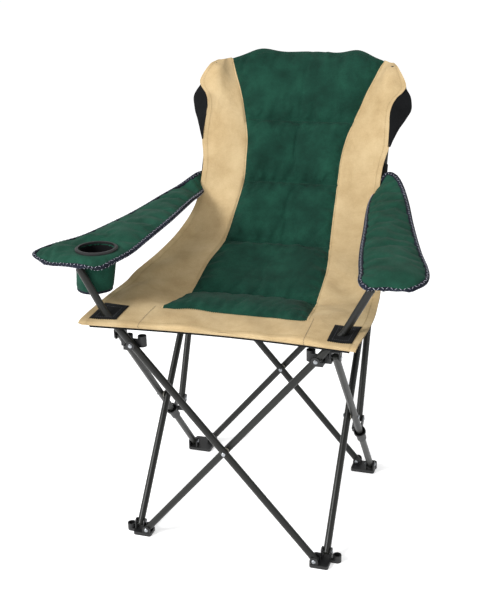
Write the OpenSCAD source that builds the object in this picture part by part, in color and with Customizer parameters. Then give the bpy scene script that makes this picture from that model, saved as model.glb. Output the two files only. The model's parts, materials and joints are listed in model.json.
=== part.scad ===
// Folding camp chair: four pairs of crossing steel tubes, moulded feet and brackets,
// two back posts, and a slung fabric seat, back and arms.
// The chair faces -Y, +X is on the sitter's left hand as seen from the front, +Z is up.

/* [Tubes] */
// Outside diameter of every frame tube
tube_d = 16; // [13:0.5:20]
// Wall of every frame tube
tube_wall = 1.2; // [0.8:0.1:2]
// Distance between the two end pivots of a crossing tube
link_len = 616; // [500:1:740]
// Angle of the crossing tubes above the floor when the chair is open
open_angle = 49.4; // [45:0.1:54]
// Distance from the upper bracket's pivot to the bend of the arm post
arm_bend_at = 88; // [70:1:96]
// How much steeper the arm posts stand than the tubes they continue
arm_bend = 12; // [8:1:16]
// Length of an arm post above its bend
arm_post_len = 106; // [80:1:112]
// Lean of the back posts from upright
post_lean = 24.5; // [24:0.1:26]
// Length of a back post
post_len = 850; // [760:1:880]

/* [Brackets and feet] */
// Distance from the front crossing plane back to the side-tube pivots
side_setback = 18; // [12:1:24]
// Distance from the rear side-tube pivot to the rear crossing plane
rear_setback = 32; // [31:1:44]
// Height of the crossing-tube pivots in the feet
foot_pivot_z = 15; // [13:0.5:19]
// Height of the side-tube pivots in the feet
side_pivot_z = 22; // [20:0.5:26]
// Thickness of the moulded ears
ear_t = 3; // [2.5:0.1:3]
// Radius of the moulded ears around a rivet
ear_r = 9.5; // [9:0.1:10]
// Bore of the open ring on each foot and of the open cups on the upper brackets
ring_bore = 14; // [10:0.5:16]
// Distance from the rear foot's pivot to the post socket along the rear side tube
socket_at = 198; // [170:1:225]
// Distance of the post's lower pivot behind the rear side tube
socket_offset = 40; // [39:0.5:44]

/* [Rivets] */
// Radius of the rivet shanks
rivet_r = 3; // [2:0.1:3.5]
// Radius of the rivet heads
rivet_head_r = 4.6; // [4:0.1:5.5]
// Thickness of the nylon washer between two crossing tubes
washer_t = 1; // [0.6:0.1:1.6]

/* [Fabric] */
// Thickness of the padded seat
seat_t = 11; // [8:1:16]
// Width of the seat at its front edge
seat_front_w = 592; // [540:2:640]
// Width of the seat where its two halves meet
seat_mid_w = 570; // [520:2:590]
// Width of the seat at the back posts
seat_rear_w = 410; // [380:2:420]
// Thickness of the padded back
back_t = 14; // [10:1:20]
// Width of the back between the posts
back_low_w = 410; // [380:2:420]
// Width of the back at the shoulders
back_shoulder_w = 556; // [500:2:600]
// Width of the back's top edge
back_top_w = 264; // [200:2:320]
// Width of the right armrest at its front
arm_w = 112; // [90:2:120]
// Extra width of the left armrest, which carries the cup holder
cup_arm_extra = 76; // [60:2:90]
// Thickness of an armrest
arm_t = 20; // [14:1:24]
// Height of the armrest's top at its front
arm_front_z = 672; // [672:1:690]
// Height of the armrest's top at the back post
arm_rear_z = 738; // [700:1:760]

/* [Cup holder] */
// Bore of the cup holder's ring
cup_bore = 78; // [60:1:90]
// Depth of the cup holder's pocket
cup_depth = 92; // [70:1:130]

/* [Clearances] */
// Radial running clearance of a rivet in a moving tube
rivet_gap = 0.05; // [0.02:0.01:0.1]
// Gap between a tube and the ears beside it
side_gap = 0.4; // [0.2:0.1:0.6]
// Slack around a back post in its guide
guide_slack = 7.5; // [7.5:0.5:8]

/* [Hidden] */
$fn = 48;

LEFT = -1;
RIGHT = 1;
eps = 0.01;
rivet_head_h = 2.5;

// Crossing geometry
half_w = link_len * cos(open_angle) / 2;
rise = link_len * sin(open_angle);
run = link_len * cos(open_angle);
tube_r = tube_d / 2;
pitch = tube_d + washer_t;
end_over = 7;
end_chamfer = 3;
ear_gap = tube_r + side_gap;
end_reach = tube_r + 1.5;

// The front crossing plane is set so that the whole chair is centred on Y = 0
front_y = -347;
front_side_y = front_y + side_setback;
rear_side_y = front_side_y + run;
rear_y = rear_side_y + rear_setback;
cross_top_z = foot_pivot_z + rise;
side_top_z = side_pivot_z + rise;

// Side planes: the front side tubes stand inside the rear side tubes
inner_x = half_w + tube_r + side_gap + ear_t + 9.1;
outer_x = inner_x + pitch;

// Back posts
socket_y = rear_side_y - socket_at * cos(open_angle) + socket_offset * sin(open_angle);
socket_z = side_pivot_z + socket_at * sin(open_angle) + socket_offset * cos(open_angle);
post_x = inner_x + 6;
guide_z = side_top_z - 4;
guide_y = socket_y + (guide_z - socket_z) * tan(post_lean);
post_top_y = socket_y + post_len * sin(post_lean);
post_top_z = socket_z + post_len * cos(post_lean);
guide_h = 18;
guide_wall = 3;

// Arm posts
arm_angle = open_angle + arm_bend;
bend_x = half_w + arm_bend_at * cos(open_angle);
bend_z = cross_top_z + arm_bend_at * sin(open_angle);
arm_tip_x = bend_x + arm_post_len * cos(arm_angle);
arm_tip_z = bend_z + arm_post_len * sin(arm_angle);
elbow_swell = 0.4;

// Colours
tube_colour = "#33342f";
mould_colour = "#161616";
rivet_colour = "#b9bcc0";
green = "#27574a";
tan_colour = "#d2bd8b";
black_fabric = "#171717";

// ---------------------------------------------------------------- helpers

// Round bar along +Z with chamfered ends
module bar(len, r, chamfer) {
    rotate_extrude() polygon([[0, 0], [r - chamfer, 0], [r, chamfer],
        [r, len - chamfer], [r - chamfer, len], [0, len]]);
}

// The same bar, chamfered at its lower end only
module bar_to(len) {
    rotate_extrude() polygon([[0, 0], [tube_r - end_chamfer, 0], [tube_r, end_chamfer],
        [tube_r, len], [0, len]]);
}

// A frame tube along +X from its first pivot, hollow between its plugged ends
module link_tube(len) {
    difference() {
        translate([-end_over, 0, 0]) rotate([0, 90, 0])
            bar(len + 2 * end_over, tube_r, end_chamfer);
        translate([2 * tube_r, 0, 0]) rotate([0, 90, 0])
            cylinder(h = len / 2 - 5 * tube_r, r = tube_r - tube_wall);
        translate([len / 2 + 3 * tube_r, 0, 0]) rotate([0, 90, 0])
            cylinder(h = len / 2 - 5 * tube_r, r = tube_r - tube_wall);
        for (at = [0, len / 2, len])
            translate([at, 0, 0]) rotate([90, 0, 0])
                cylinder(h = 2 * tube_d, r = rivet_r + rivet_gap, center = true);
    }
}

// A domed rivet along +Z from z = -len to z = 0, with a head on each end
module rivet(len) {
    translate([0, 0, -len]) cylinder(h = len, r = rivet_r);
    for (m = [0, 1]) translate([0, 0, -m * len]) mirror([0, 0, m])
        rotate_extrude() polygon([[0, -eps], [rivet_head_r, -eps], [rivet_head_r, 0.8],
            [rivet_head_r - 1.2, 1.9], [rivet_head_r - 2.8, rivet_head_h - 0.1],
            [0, rivet_head_h]]);
}

module rivet_hole(len) {
    cylinder(h = len, r = rivet_r, center = true);
}

// Room for a rivet head that stands inboard of an ear's face at x
module head_pocket(x, y, z) {
    translate([x, y, z]) rotate([0, -90, 0])
        cylinder(h = rivet_head_h + 0.6, r = rivet_head_r + 0.6);
}

// A box with rounded upright edges, drawn from its centre in X and Y
module round_box(size, r) {
    w = size[0];
    d = size[1];
    linear_extrude(size[2]) {
        square([w - 2 * r, d], center = true);
        square([w, d - 2 * r], center = true);
        for (x = [-1, 1], y = [-1, 1])
            translate([x * (w / 2 - r), y * (d / 2 - r)]) circle(r);
    }
}

// One ear in the XZ plane: round at the pivot and standing on a base below it
module ear(r, drop, t) {
    rotate([90, 0, 0]) linear_extrude(t, center = true) {
        circle(r);
        translate([-r, -drop]) square([2 * r, drop]);
    }
}

// ---------------------------------------------------------------- tubes

// Crossing tube of the front or rear pair, rising towards the given side
module cross_tube(plane_y, foot_z, side) {
    color(tube_colour)
        translate([-side * half_w, plane_y, foot_z])
            mirror([side < 0 ? 1 : 0, 0, 0])
                rotate([0, -open_angle, 0]) link_tube(link_len);
}

// Front crossing tube: it runs on past its bracket and bends up into the arm post
module front_tube(plane_y, side) {
    lower = [-side * half_w, plane_y, foot_pivot_z];
    color(tube_colour) translate(lower) mirror([side < 0 ? 1 : 0, 0, 0])
        rotate([0, -open_angle, 0]) difference() {
            union() {
                translate([-end_over, 0, 0]) rotate([0, 90, 0])
                    bar_to(link_len + end_over + arm_bend_at);
                translate([link_len + arm_bend_at, 0, 0]) {
                    sphere(r = tube_r + elbow_swell);
                    rotate([0, 90 - arm_bend, 0]) cylinder(h = arm_post_len, r = tube_r);
                }
            }
            translate([2 * tube_r, 0, 0]) rotate([0, 90, 0])
                cylinder(h = link_len / 2 - 5 * tube_r, r = tube_r - tube_wall);
            translate([link_len / 2 + 3 * tube_r, 0, 0]) rotate([0, 90, 0])
                cylinder(h = link_len / 2 - 5 * tube_r, r = tube_r - tube_wall);
            translate([link_len + arm_bend_at, 0, 0]) rotate([0, 90 - arm_bend, 0])
                translate([0, 0, 2 * tube_r])
                    cylinder(h = arm_post_len, r = tube_r - tube_wall);
            for (at = [0, link_len / 2, link_len])
                translate([at, 0, 0]) rotate([90, 0, 0])
                    cylinder(h = 2 * tube_d, r = rivet_r + rivet_gap, center = true);
        }
}

// Side tube that starts at the front foot and rises to the rear
module front_side_tube(side) {
    color(tube_colour) translate([side * inner_x, front_side_y, side_pivot_z])
        rotate([0, 0, 90]) rotate([0, -open_angle, 0]) link_tube(link_len);
}

// Side tube that starts at the rear foot and rises to the front
module rear_side_tube(side) {
    color(tube_colour) translate([side * outer_x, rear_side_y, side_pivot_z])
        rotate([0, 0, -90]) rotate([0, -open_angle, 0]) link_tube(link_len);
}

// Straight back post, pinned in its socket at the bottom and sliding in the rear bracket
module back_post(side) {
    color(tube_colour) translate([side * post_x, socket_y, socket_z])
        rotate([-post_lean, 0, 0]) difference() {
            translate([0, 0, -end_over]) bar(post_len + end_over, tube_r, end_chamfer);
            translate([0, 0, 2 * tube_r])
                cylinder(h = post_len, r = tube_r - tube_wall);
            rotate([0, 90, 0])
                cylinder(h = 2 * tube_d, r = rivet_r + rivet_gap, center = true);
        }
}

module back_post_cap(side) {
    color(mould_colour) translate([side * post_x, socket_y, socket_z])
        rotate([-post_lean, 0, 0]) translate([0, 0, post_len]) {
            rotate_extrude() polygon([[0, 0], [tube_r + 1, 0], [tube_r + 1, 3],
                [tube_r - 1, 6], [0, 7]]);
            translate([0, 0, -12]) cylinder(h = 12 + eps, r = tube_r - tube_wall - 0.05);
        }
}

module arm_post_plug(side) {
    color(mould_colour)
        translate([side * arm_tip_x, front_y + side * pitch / 2, arm_tip_z])
            rotate([0, side * (90 - arm_angle), 0]) {
                rotate_extrude() polygon([[0, 0], [tube_r + 0.8, 0], [tube_r + 0.8, 2],
                    [tube_r - 1, 5], [0, 6]]);
                translate([0, 0, -12]) cylinder(h = 12 + eps, r = tube_r - tube_wall - 0.05);
            }
}

// ---------------------------------------------------------------- feet

ring_wall = 2.5;
ring_r = ring_bore / 2 + ring_wall;
ring_h = 17;
sole_t = 8;
base_r = 5;

// An open ring standing on z = 0, with a floor that has a drain hole
module open_ring(h) {
    difference() {
        cylinder(h = h, r = ring_r);
        translate([0, 0, 3]) cylinder(h = h, r = ring_bore / 2);
        translate([0, 0, -1]) cylinder(h = h, r = ring_bore / 4);
    }
}

// A foot: sole, two ears for the crossing tube, two for the side tube, one open ring.
// cross_y and side_y are the Y of the two tubes, side_x is the side tube's plane, and
// ring_at is the ring's place from the side tube's pivot.
module foot(side, cross_y, side_x, side_y, ring_at) {
    low_y = min(cross_y - ear_gap - ear_t, side_y - ear_r) - 1;
    high_y = max(cross_y + ear_gap + ear_t, side_y + ear_r) + 1;
    in_x = half_w - ear_r - 1;
    out_x = side_x + ear_gap + ear_t;
    color(mould_colour) mirror([side < 0 ? 1 : 0, 0, 0]) {
        difference() {
            union() {
                translate([(in_x + out_x) / 2, (low_y + high_y) / 2, 0])
                    round_box([out_x - in_x, high_y - low_y, sole_t], base_r);
                translate([side_x, side_y - ear_r, 0])
                    cube([ring_at[0], ring_at[1] + ear_r, sole_t - 1]);
                for (s = [-1, 1]) {
                    translate([half_w, cross_y + s * (ear_gap + ear_t / 2), foot_pivot_z])
                        ear(ear_r, foot_pivot_z - 1, ear_t);
                    translate([side_x + s * (ear_gap + ear_t / 2), side_y, side_pivot_z])
                        rotate([0, 0, 90]) ear(ear_r, side_pivot_z - 1, ear_t);
                }
            }
            translate([half_w, cross_y, foot_pivot_z]) rotate([90, 0, 0])
                rivet_hole(tube_d + 6 * ear_t);
            translate([side_x, side_y, side_pivot_z]) rotate([0, 90, 0])
                rivet_hole(tube_d + 2 * side_gap + 2 * ear_t + 1);
            // room for the crossing tube's end and for the side rivet's inner head
            translate([half_w, cross_y, foot_pivot_z]) rotate([90, 0, 0])
                cylinder(h = 2 * ear_gap, r = end_reach, center = true);
            head_pocket(side_x - ear_gap - ear_t, side_y, side_pivot_z);
            translate([side_x + ring_at[0], side_y + ring_at[1], -1])
                cylinder(h = ring_h, r = ring_bore / 4);
            translate([side_x + ring_at[0], side_y + ring_at[1], 3])
                cylinder(h = 2 * ring_h, r = ring_bore / 2);
        }
        translate([side_x + ring_at[0], side_y + ring_at[1], 0]) open_ring(ring_h);
    }
}

// The two rivets of one foot
module foot_rivets(side, cross_y, side_x, side_y) {
    len = 2 * (ear_gap + ear_t);
    color(rivet_colour) mirror([side < 0 ? 1 : 0, 0, 0]) {
        translate([half_w, cross_y - len / 2, foot_pivot_z]) rotate([90, 0, 0]) rivet(len);
        translate([side_x + len / 2, side_y, side_pivot_z]) rotate([0, 90, 0]) rivet(len);
    }
}

module front_foot(side) {
    foot(side, front_y - side * pitch / 2, inner_x, front_side_y,
        [ear_gap + ear_t + rivet_head_h + ring_r, 0]);
}

module rear_foot(side) {
    foot(side, rear_y - side * pitch / 2, outer_x, rear_side_y, [4, ear_r + ring_r + 1]);
}

// ---------------------------------------------------------------- brackets

bracket_cup_h = 24;
bridge_top = 15;

// Upper front bracket: plates in front of and behind the crossing tube, open cups on
// each side of it, and ears that hold the top end of the rear side tube
module front_bracket(side) {
    cross_y = front_y + side * pitch / 2;
    plate_y = cross_y + ear_gap + ear_t / 2;
    cup_xs = [half_w - ring_r - 7, half_w + ring_r + 5.4];
    cup_y = plate_y + ring_r - ear_t / 2;
    ear_x = outer_x - ear_gap - ear_t;
    color(mould_colour) mirror([side < 0 ? 1 : 0, 0, 0]) difference() {
        union() {
            for (s = [-1, 1])
                translate([half_w, cross_y + s * (ear_gap + ear_t / 2), cross_top_z])
                    rotate([90, 0, 0]) linear_extrude(ear_t, center = true) {
                        circle(ear_r);
                        translate([0, -ear_r]) square([ear_r + 6, ear_r]);
                    }
            translate([half_w + ear_r + 3, cross_y - ear_gap - ear_t, cross_top_z - ear_r])
                cube([3, 2 * (ear_gap + ear_t), ear_r]);
            // the rear plate runs from the inner cup to the side tube's inner ear
            translate([cup_xs[0], plate_y - ear_t / 2, cross_top_z - ear_r])
                cube([ear_x + ear_t - cup_xs[0], ear_t, 2 * ear_r]);
            // ears on both sides of the side tube, joined over its top by a bridge
            for (s = [-1, 1])
                translate([outer_x + s * (ear_gap + ear_t / 2), front_side_y, side_top_z])
                    rotate([0, 90, 0]) linear_extrude(ear_t, center = true) {
                        circle(ear_r);
                        translate([-bridge_top, -ear_r]) square([bridge_top, 2 * ear_r]);
                    }
            translate([ear_x, front_side_y - ear_r, side_top_z + bridge_top - ear_t])
                cube([2 * (ear_gap + ear_t), 2 * ear_r, ear_t]);
            for (x = cup_xs) translate([x, cup_y, cross_top_z - ear_r])
                cylinder(h = bracket_cup_h, r = ring_r);
            translate([cup_xs[1], cup_y - ear_t / 2, cross_top_z - ear_r])
                cube([ear_x - cup_xs[1] + ear_t, ear_t, bracket_cup_h - 4]);
        }
        for (x = cup_xs) translate([x, cup_y, cross_top_z - ear_r + 3])
            cylinder(h = bracket_cup_h, r = ring_bore / 2);
        // room for the crossing tube, which runs on past the bracket
        translate([half_w, cross_y, cross_top_z]) rotate([0, 90 - open_angle, 0])
            cylinder(h = arm_bend_at, r = ear_gap);
        head_pocket(ear_x, front_side_y, side_top_z);
        translate([half_w, cross_y, cross_top_z]) rotate([90, 0, 0])
            rivet_hole(tube_d + 2 * side_gap + 2 * ear_t + 1);
        translate([outer_x, front_side_y, side_top_z]) rotate([0, 90, 0])
            rivet_hole(tube_d + 2 * side_gap + 2 * ear_t + 1);
    }
}

module front_bracket_rivets(side) {
    len = 2 * (ear_gap + ear_t);
    cross_y = front_y + side * pitch / 2;
    color(rivet_colour) mirror([side < 0 ? 1 : 0, 0, 0]) {
        translate([half_w, cross_y - len / 2, cross_top_z]) rotate([90, 0, 0]) rivet(len);
        translate([outer_x + len / 2, front_side_y, side_top_z])
            rotate([0, 90, 0]) rivet(len);
    }
}

// Long-bored loop that the back post slides through; its bore is long enough along Y
// for the post's change of lean
module post_guide() {
    reach = guide_slack + guide_h * tan(post_lean) / 2;
    translate([post_x, guide_y, guide_z - guide_h / 2]) difference() {
        linear_extrude(guide_h) {
            for (s = [-1, 1]) translate([0, s * reach]) circle(tube_r + side_gap + guide_wall);
            translate([-tube_r - side_gap - guide_wall, -reach])
                square([2 * (tube_r + side_gap + guide_wall), 2 * reach]);
        }
        translate([0, 0, -1]) linear_extrude(guide_h + 2) {
            for (s = [-1, 1]) translate([0, s * reach]) circle(tube_r + side_gap);
            translate([-tube_r - side_gap, -reach])
                square([2 * (tube_r + side_gap), 2 * reach]);
        }
    }
}

// Upper rear bracket: ears for the front side tube, ears for the rear crossing tube,
// a web that joins them, and the guide for the back post
module rear_bracket(side) {
    cross_y = rear_y + side * pitch / 2;
    web_x = inner_x - ear_gap - ear_t;
    web_end_y = cross_y + ear_gap + ear_t;
    color(mould_colour) mirror([side < 0 ? 1 : 0, 0, 0]) difference() {
        union() {
            for (s = [-1, 1]) {
                translate([half_w, cross_y + s * (ear_gap + ear_t / 2), cross_top_z])
                    rotate([90, 0, 0]) linear_extrude(ear_t, center = true) {
                        circle(ear_r);
                        translate([0, -ear_r])
                            square([post_x - tube_r - side_gap - 0.5 - half_w, 2 * ear_r]);
                    }
                translate([inner_x + s * (ear_gap + ear_t / 2), rear_side_y, side_top_z])
                    rotate([0, 90, 0]) linear_extrude(ear_t, center = true) circle(ear_r);
            }
            translate([web_x, rear_side_y, cross_top_z - ear_r])
                cube([ear_t, web_end_y - rear_side_y, 2 * ear_r]);
            translate([web_x + ear_t + 2 * ear_gap, rear_side_y, side_top_z - ear_r])
                cube([ear_t, ear_r + ear_t + 1, 2 * ear_r]);
            translate([web_x, rear_side_y + ear_r, side_top_z - ear_r])
                cube([2 * (ear_gap + ear_t), ear_t, 2 * ear_r - 4]);
            post_guide();
        }
        translate([half_w, cross_y, cross_top_z]) rotate([90, 0, 0])
            rivet_hole(tube_d + 2 * side_gap + 2 * ear_t + 1);
        translate([inner_x, rear_side_y, side_top_z]) rotate([0, 90, 0])
            rivet_hole(tube_d + 2 * side_gap + 2 * ear_t + 1);
    }
}

module rear_bracket_rivets(side) {
    len = 2 * (ear_gap + ear_t);
    cross_y = rear_y + side * pitch / 2;
    color(rivet_colour) mirror([side < 0 ? 1 : 0, 0, 0]) {
        translate([half_w, cross_y - len / 2, cross_top_z]) rotate([90, 0, 0]) rivet(len);
        translate([inner_x + len / 2, rear_side_y, side_top_z])
            rotate([0, 90, 0]) rivet(len);
    }
}

// Post socket: a sleeve with a cupped rim on the rear side tube, and two ears behind
// it for the back post
module post_socket(side) {
    sleeve_len = 44;
    sleeve_r = tube_r + 3.2;
    cup_r = sleeve_r + 3;
    color(mould_colour) mirror([side < 0 ? 1 : 0, 0, 0])
        translate([outer_x, rear_side_y, side_pivot_z]) rotate([90 - open_angle, 0, 0])
            translate([0, 0, socket_at]) difference() {
                union() {
                    translate([0, 0, -sleeve_len / 2]) rotate_extrude()
                        polygon([[0, 0], [sleeve_r - 1, 0], [sleeve_r, 2],
                            [sleeve_r, sleeve_len - 13], [cup_r, sleeve_len - 7],
                            [cup_r, sleeve_len], [0, sleeve_len]]);
                    for (s = [-1, 1])
                        translate([post_x - outer_x + s * (ear_gap + ear_t / 2), socket_offset, 0])
                            rotate([0, 90, 0]) linear_extrude(ear_t, center = true) {
                                circle(ear_r);
                                translate([-ear_r, -socket_offset + tube_r + 1])
                                    square([2 * ear_r, socket_offset - tube_r - 1]);
                            }
                    translate([post_x - outer_x - ear_gap - ear_t, tube_r + 0.7, -ear_r])
                        cube([2 * (ear_gap + ear_t), 5, 2 * ear_r]);
                }
                translate([0, 0, -sleeve_len])
                    cylinder(h = 2 * sleeve_len, r = tube_r + rivet_gap);
                translate([0, 0, sleeve_len / 2 - 8])
                    cylinder(h = 9, r1 = tube_r + rivet_gap, r2 = cup_r - 1.6);
                translate([0, socket_offset, 0]) rotate([0, 90, 0])
                    rivet_hole(4 * tube_d);
            }
}

module post_socket_rivets(side) {
    len = 2 * (ear_gap + ear_t);
    color(rivet_colour) mirror([side < 0 ? 1 : 0, 0, 0])
        translate([post_x, socket_y, socket_z]) translate([len / 2, 0, 0])
            rotate([0, 90, 0]) rivet(len);
}

// ---------------------------------------------------------------- crossings

cross_rivet_len = tube_d + pitch + 0.2;

// Rivet through two crossing tubes, and the nylon washer between them
module cross_rivet(plane_y, foot_z) {
    color(rivet_colour)
        translate([0, plane_y - cross_rivet_len / 2, foot_z + rise / 2])
            rotate([90, 0, 0]) rivet(cross_rivet_len);
}

module washer() {
    difference() {
        cylinder(h = washer_t - 0.1, r = tube_r, center = true);
        cylinder(h = 2 * washer_t, r = rivet_r + rivet_gap, center = true);
    }
}

module cross_washer(plane_y, foot_z) {
    color("#c9c6bb") translate([0, plane_y, foot_z + rise / 2]) rotate([90, 0, 0]) washer();
}

side_cross_y = front_side_y + run / 2;
side_cross_z = side_pivot_z + rise / 2;

module side_cross_rivet(side) {
    color(rivet_colour)
        translate([side * (inner_x + outer_x) / 2 + cross_rivet_len / 2, side_cross_y, side_cross_z])
            rotate([0, 90, 0]) rivet(cross_rivet_len);
}

module side_cross_washer(side) {
    color("#c9c6bb") translate([side * (inner_x + outer_x) / 2, side_cross_y, side_cross_z])
        rotate([0, 90, 0]) washer();
}

// ---------------------------------------------------------------- fabric

// Side view of the sling's top face, [y behind the front crossing plane, z], from the
// front edge down into the seat and up to the top of the back
sling_line = [[-55, 546], [77, 541], [175, 524], [219, 525], [329, 552], [413, 584],
    [541, 708], [570, 762], [640, 847], [716, 985], [743, 1012]];
seat_split_y = 175;
seat_end_y = 413;
back_wing_z = 822;
back_shoulder_z = 915;

// Unit normal of the line at point i, pointing down and back
function away(line, i) =
    let (a = line[max(i - 1, 0)], b = line[min(i + 1, len(line) - 1)], d = (b - a) / norm(b - a))
    [d[1], -d[0]];

// Closed outline of a line given a thickness on its underside
function thick(line, t) = concat(line,
    [for (i = [len(line) - 1:-1:0]) line[i] + t * away(line, i)]);

// Part of the sling between two places along Y, as a slab wider than the chair
module sling_slab(from_y, to_y, t) {
    line = [for (p = sling_line) if (p[0] >= from_y && p[0] <= to_y) p];
    translate([-400, front_y, 0]) rotate([90, 0, 90])
        linear_extrude(800) polygon(thick(line, t));
}

module seat_outline(y1, w1, y2, w2) {
    translate([0, front_y, 400]) linear_extrude(300)
        polygon([[-w1 / 2, y1], [w1 / 2, y1], [w2 / 2, y2], [-w2 / 2, y2]]);
}

// Where the arm posts pass through the seat's front corners
module arm_post_hole(side, r) {
    translate([side * bend_x, front_y + side * pitch / 2, bend_z])
        rotate([0, side * (90 - open_angle), 0]) cylinder(h = 120, r = r, center = true);
}

module seat_front() {
    color(tan_colour) difference() {
        intersection() {
            sling_slab(sling_line[0][0], seat_split_y, seat_t);
            seat_outline(-80, seat_front_w, seat_split_y - 0.3, seat_mid_w);
        }
        for (s = [LEFT, RIGHT]) arm_post_hole(s, 1.8 * tube_r);
    }
}

module seat_rear() {
    color(green) intersection() {
        sling_slab(seat_split_y, seat_end_y, seat_t);
        seat_outline(seat_split_y + 0.3, seat_mid_w, seat_end_y - 1, seat_rear_w);
    }
}

// Flat reinforcing patches around the arm posts at the seat's front corners
module seat_corner_patch(side) {
    patch_w = 56;
    patch_d = 48;
    color(black_fabric) difference() {
        translate([side * (bend_x - 4) - patch_w / 2, front_y - 12 - patch_d / 2, 546.5])
            cube([patch_w, patch_d, 1.5]);
        arm_post_hole(side, 1.6 * tube_r);
    }
}

// Front view of the back: narrow between the posts, wide behind them at the shoulders
module back_panel() {
    low_z = sling_line[5][1] + 2;
    shape = [[back_low_w / 2, low_z], [back_low_w / 2, back_wing_z],
        [back_shoulder_w / 2 - 20, back_wing_z + 20], [back_shoulder_w / 2, back_shoulder_z],
        [back_shoulder_w / 2 - 40, back_shoulder_z + 56], [back_top_w / 2, 1012]];
    color(green) intersection() {
        sling_slab(seat_end_y, 800, back_t);
        translate([0, 400 + front_y + 500, 0]) rotate([90, 0, 0]) linear_extrude(900)
            polygon(concat(shape,
                [for (i = [len(shape) - 1:-1:0]) [-shape[i][0], shape[i][1]]]));
    }
}

// Armrests: flat in front, rising to the outside of the back posts; the left one is
// wider in front and carries the cup holder
arm_front_y = front_y + 8;
arm_in_x = arm_tip_x - 4;
arm_flat_to = front_y + 126;
arm_rear_y = socket_y + (arm_rear_z - socket_z) * tan(post_lean) - 26;

module arm_disc(x, y, z, r) {
    translate([x, y, z - arm_t]) cylinder(h = arm_t, r = r, $fn = 32);
}

module armrest(side, extra, bore) {
    in_x = arm_in_x - (extra > 0 ? extra : 0);
    out_x = arm_in_x + arm_w;
    color(green) mirror([side < 0 ? 1 : 0, 0, 0]) difference() {
        union() {
            hull() {
                arm_disc(in_x + 40, arm_front_y, arm_front_z, 40);
                arm_disc(out_x - 40, arm_front_y, arm_front_z, 40);
                arm_disc(in_x + 34, arm_flat_to, arm_front_z, 30);
                arm_disc(out_x - 44, arm_flat_to, arm_front_z, 30);
            }
            hull() {
                arm_disc(in_x + 34, arm_flat_to, arm_front_z, 30);
                arm_disc(out_x - 44, arm_flat_to, arm_front_z, 30);
                arm_disc(post_x + 34, arm_rear_y, arm_rear_z, 22);
            }
        }
        if (bore > 0)
            translate([-cup_x, cup_y, arm_front_z - 2 * arm_t])
                cylinder(h = 4 * arm_t, r = bore / 2);
    }
}

cup_x = -(arm_in_x - 12);
cup_y = front_y + 44;

module cup_ring() {
    color(mould_colour) translate([cup_x, cup_y, arm_front_z]) rotate_extrude()
        polygon([[cup_bore / 2, 0.3], [cup_bore / 2 + 7, 0.3], [cup_bore / 2 + 7, 3],
            [cup_bore / 2 + 4, 5], [cup_bore / 2, 5]]);
}

module cup_pocket() {
    wall = 2;
    h = cup_depth - arm_t - 0.3;
    color(green) translate([cup_x, cup_y, arm_front_z - cup_depth]) difference() {
        cylinder(h = h, r1 = cup_bore / 2 - 6, r2 = cup_bore / 2 - 1);
        translate([0, 0, wall]) cylinder(h = h, r1 = cup_bore / 2 - 8, r2 = cup_bore / 2 - 3);
    }
}

// ---------------------------------------------------------------- nodes

front_tube(front_y + pitch / 2, RIGHT);  // front_cross_tube_rising_right
front_tube(front_y - pitch / 2, LEFT);  // front_cross_tube_rising_left
cross_tube(rear_y + pitch / 2, foot_pivot_z, RIGHT);  // rear_cross_tube_rising_right
cross_tube(rear_y - pitch / 2, foot_pivot_z, LEFT);  // rear_cross_tube_rising_left
front_side_tube(LEFT);  // front_side_tube_left
front_side_tube(RIGHT);  // front_side_tube_right
rear_side_tube(LEFT);  // rear_side_tube_left
rear_side_tube(RIGHT);  // rear_side_tube_right
back_post(LEFT);  // back_post_left
back_post(RIGHT);  // back_post_right
front_foot(LEFT);  // foot_front_left
front_foot(RIGHT);  // foot_front_right
rear_foot(LEFT);  // foot_rear_left
rear_foot(RIGHT);  // foot_rear_right
foot_rivets(LEFT, front_y + pitch / 2, inner_x, front_side_y);  // foot_rivets_front_left
foot_rivets(RIGHT, front_y - pitch / 2, inner_x, front_side_y);  // foot_rivets_front_right
foot_rivets(LEFT, rear_y + pitch / 2, outer_x, rear_side_y);  // foot_rivets_rear_left
foot_rivets(RIGHT, rear_y - pitch / 2, outer_x, rear_side_y);  // foot_rivets_rear_right
front_bracket(LEFT);  // front_bracket_left
front_bracket(RIGHT);  // front_bracket_right
front_bracket_rivets(LEFT);  // front_bracket_rivets_left
front_bracket_rivets(RIGHT);  // front_bracket_rivets_right
rear_bracket(LEFT);  // rear_bracket_left
rear_bracket(RIGHT);  // rear_bracket_right
rear_bracket_rivets(LEFT);  // rear_bracket_rivets_left
rear_bracket_rivets(RIGHT);  // rear_bracket_rivets_right
post_socket(LEFT);  // post_socket_left
post_socket(RIGHT);  // post_socket_right
post_socket_rivets(LEFT);  // post_socket_rivets_left
post_socket_rivets(RIGHT);  // post_socket_rivets_right
cross_rivet(front_y, foot_pivot_z);  // front_cross_rivet
cross_rivet(rear_y, foot_pivot_z);  // rear_cross_rivet
side_cross_rivet(LEFT);  // side_cross_rivet_left
side_cross_rivet(RIGHT);  // side_cross_rivet_right
cross_washer(front_y, foot_pivot_z);  // front_cross_washer
cross_washer(rear_y, foot_pivot_z);  // rear_cross_washer
side_cross_washer(LEFT);  // side_cross_washer_left
side_cross_washer(RIGHT);  // side_cross_washer_right
arm_post_plug(LEFT);  // arm_post_plug_left
arm_post_plug(RIGHT);  // arm_post_plug_right
back_post_cap(LEFT);  // back_post_cap_left
back_post_cap(RIGHT);  // back_post_cap_right
seat_front();
seat_rear();
back_panel();
armrest(LEFT, cup_arm_extra, cup_bore);  // armrest_left
armrest(RIGHT, 0, 0);  // armrest_right
seat_corner_patch(LEFT);  // seat_corner_patch_left
seat_corner_patch(RIGHT);  // seat_corner_patch_right
cup_ring();
cup_pocket();
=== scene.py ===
import bpy
import json
import math
import numpy as np
from mathutils import Matrix, Vector


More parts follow.
